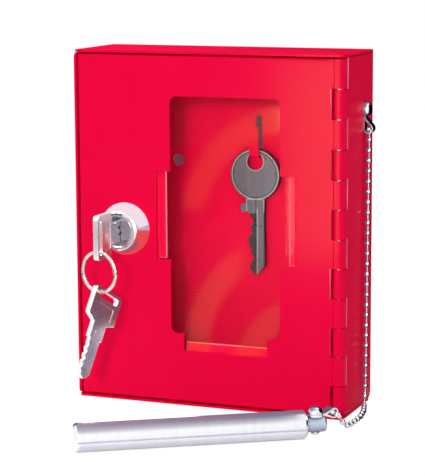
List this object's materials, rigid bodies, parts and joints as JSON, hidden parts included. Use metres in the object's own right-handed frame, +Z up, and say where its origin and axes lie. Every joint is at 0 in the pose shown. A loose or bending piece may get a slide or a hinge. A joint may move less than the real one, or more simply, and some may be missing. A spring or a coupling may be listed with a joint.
{
  "type": "emergency key box",
  "caption": "Wall-mounted emergency key box: folded steel case, hinged door with a glass window and cam lock, a key on a hook inside and a small hammer on a ball chain.",
  "frame": {"origin": "centre of the case's underside", "axes": "+Z up, -Y out of the door's face, +X towards the hinge side"},
  "size_m": [0.1277, 0.1265, 0.15],
  "materials": {
    "red_paint": "gloss powder coat",
    "glass": "clear",
    "bright_chrome": "polished",
    "key_nickel": "polished nickel",
    "satin_nickel": "satin",
    "zinc_steel": "zinc plated",
    "brass": "plain",
    "satin_aluminium": "satin turned"
  },
  "bodies": {
    "case": {"case": "red_paint", "strike_plate": "zinc_steel", "hinge_pin": "zinc_steel", "upper_connector": "bright_chrome", "chain_rivet": "bright_chrome", "chain_beads": "bright_chrome", "chain_links": "bright_chrome"},
    "door": {"door_panel": "red_paint", "glass_pane": "glass", "lock_housing": "bright_chrome", "lock_nut": "zinc_steel"},
    "plug": {"lock_plug": "bright_chrome", "tumbler_wafers": "brass", "cam": "zinc_steel", "cam_screw": "zinc_steel", "lock_key": "key_nickel"},
    "ring": {"key_ring": "key_nickel"},
    "spare": {"spare_key": "key_nickel"},
    "hung": {"hung_key": "satin_nickel"},
    "chain_tail": {"tail_beads": "bright_chrome", "tail_links": "bright_chrome", "lower_connector": "bright_chrome", "stud_rivet": "bright_chrome"},
    "hammer": {"hammer_rod": "satin_aluminium", "hammer_stud": "zinc_steel"}
  },
  "joints": [
    {"name": "door_hinge", "type": "hinge", "parent": "case", "child": "door", "pos_m": [0.0575, -0.0175, 0.075], "axis": [0, 0, 1], "range_deg": [0, 180]},
    {"name": "plug_turn", "type": "hinge", "parent": "door", "child": "plug", "pos_m": [-0.037, -0.02, 0.0747], "axis": [0, 1, 0], "range_deg": [0, 90]},
    {"name": "ring_swing", "type": "hinge", "parent": "plug", "child": "ring", "pos_m": [-0.037, -0.0466, 0.0687], "axis": [0.9755, -0.2198, 0], "range_deg": [-20, 20]},
    {"name": "spare_swing", "type": "hinge", "parent": "ring", "child": "spare", "pos_m": [-0.037, -0.0466, 0.0521], "axis": [0.9755, -0.2198, 0], "range_deg": [-15, 15]},
    {"name": "hung_key_swing", "type": "hinge", "parent": "case", "child": "hung", "pos_m": [0.0087, 0.016, 0.10101], "axis": [0, 1, 0], "range_deg": [-15, 15]},
    {"name": "chain_tail_turn", "type": "hinge", "parent": "case", "child": "chain_tail", "pos_m": [0.0624, 0.0022, 0.00122], "axis": [0, 0, 1], "range_deg": [0, 135]},
    {"name": "hammer_turn", "type": "hinge", "parent": "chain_tail", "child": "hammer", "pos_m": [0.05825, -0.04941, 0.0058], "axis": [0, 0, 1], "range_deg": [0, 45]}
  ],
  "couplings": [
    {"joint": "chain_tail_turn", "follows": "door_hinge", "ratio": 0.75}
  ]
}
